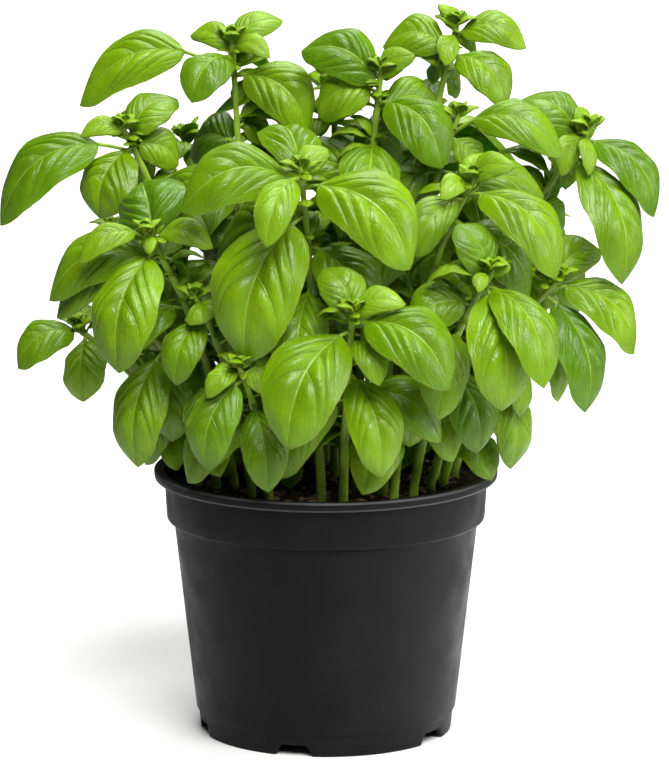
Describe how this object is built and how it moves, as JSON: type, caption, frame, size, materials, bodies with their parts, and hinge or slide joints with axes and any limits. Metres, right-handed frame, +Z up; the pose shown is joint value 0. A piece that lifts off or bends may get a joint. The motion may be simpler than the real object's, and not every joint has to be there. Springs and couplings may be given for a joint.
{
  "type": "potted basil plant",
  "caption": "Bushy sweet basil plant in a round tapered plastic nursery pot with a rolled rim and a notched foot, filled with potting soil.",
  "frame": {"origin": "on the surface that the pot stands on, under the middle of the plant's outline, which is within 3 mm of the pot's axis", "axes": "+Z up, -Y towards the viewer of the picture, +X to the viewer's right"},
  "size_m": [0.3015, 0.246, 0.3388],
  "materials": {
    "pot_plastic": "satin black",
    "potting_soil": "crumbly, matte",
    "basil_leaf": "satin green"
  },
  "bodies": {
    "root": {"pot": "pot_plastic", "soil": "potting_soil", "stem_top_left": "basil_leaf", "stem_top_centre": "basil_leaf", "stem_top_right": "basil_leaf", "stem_upper_right": "basil_leaf", "stem_right_high": "basil_leaf", "stem_right_inner": "basil_leaf", "stem_right_middle": "basil_leaf", "stem_right_low": "basil_leaf", "stem_centre": "basil_leaf", "stem_centre_low": "basil_leaf", "stem_left_middle": "basil_leaf", "stem_left_high": "basil_leaf", "stem_left_low": "basil_leaf", "stem_left_hanging": "basil_leaf", "stem_left_front": "basil_leaf", "stem_front_right": "basil_leaf", "stem_right_front": "basil_leaf", "stem_left_inner": "basil_leaf", "stem_back_top": "basil_leaf", "stem_back_left_top": "basil_leaf", "stem_back_right_top": "basil_leaf", "stem_back_centre": "basil_leaf", "stem_back_left": "basil_leaf", "stem_back_right": "basil_leaf", "stem_back_left_low": "basil_leaf", "stem_back_right_low": "basil_leaf", "stem_back_low": "basil_leaf", "stem_right_side_low": "basil_leaf"}
  },
  "joints": []
}
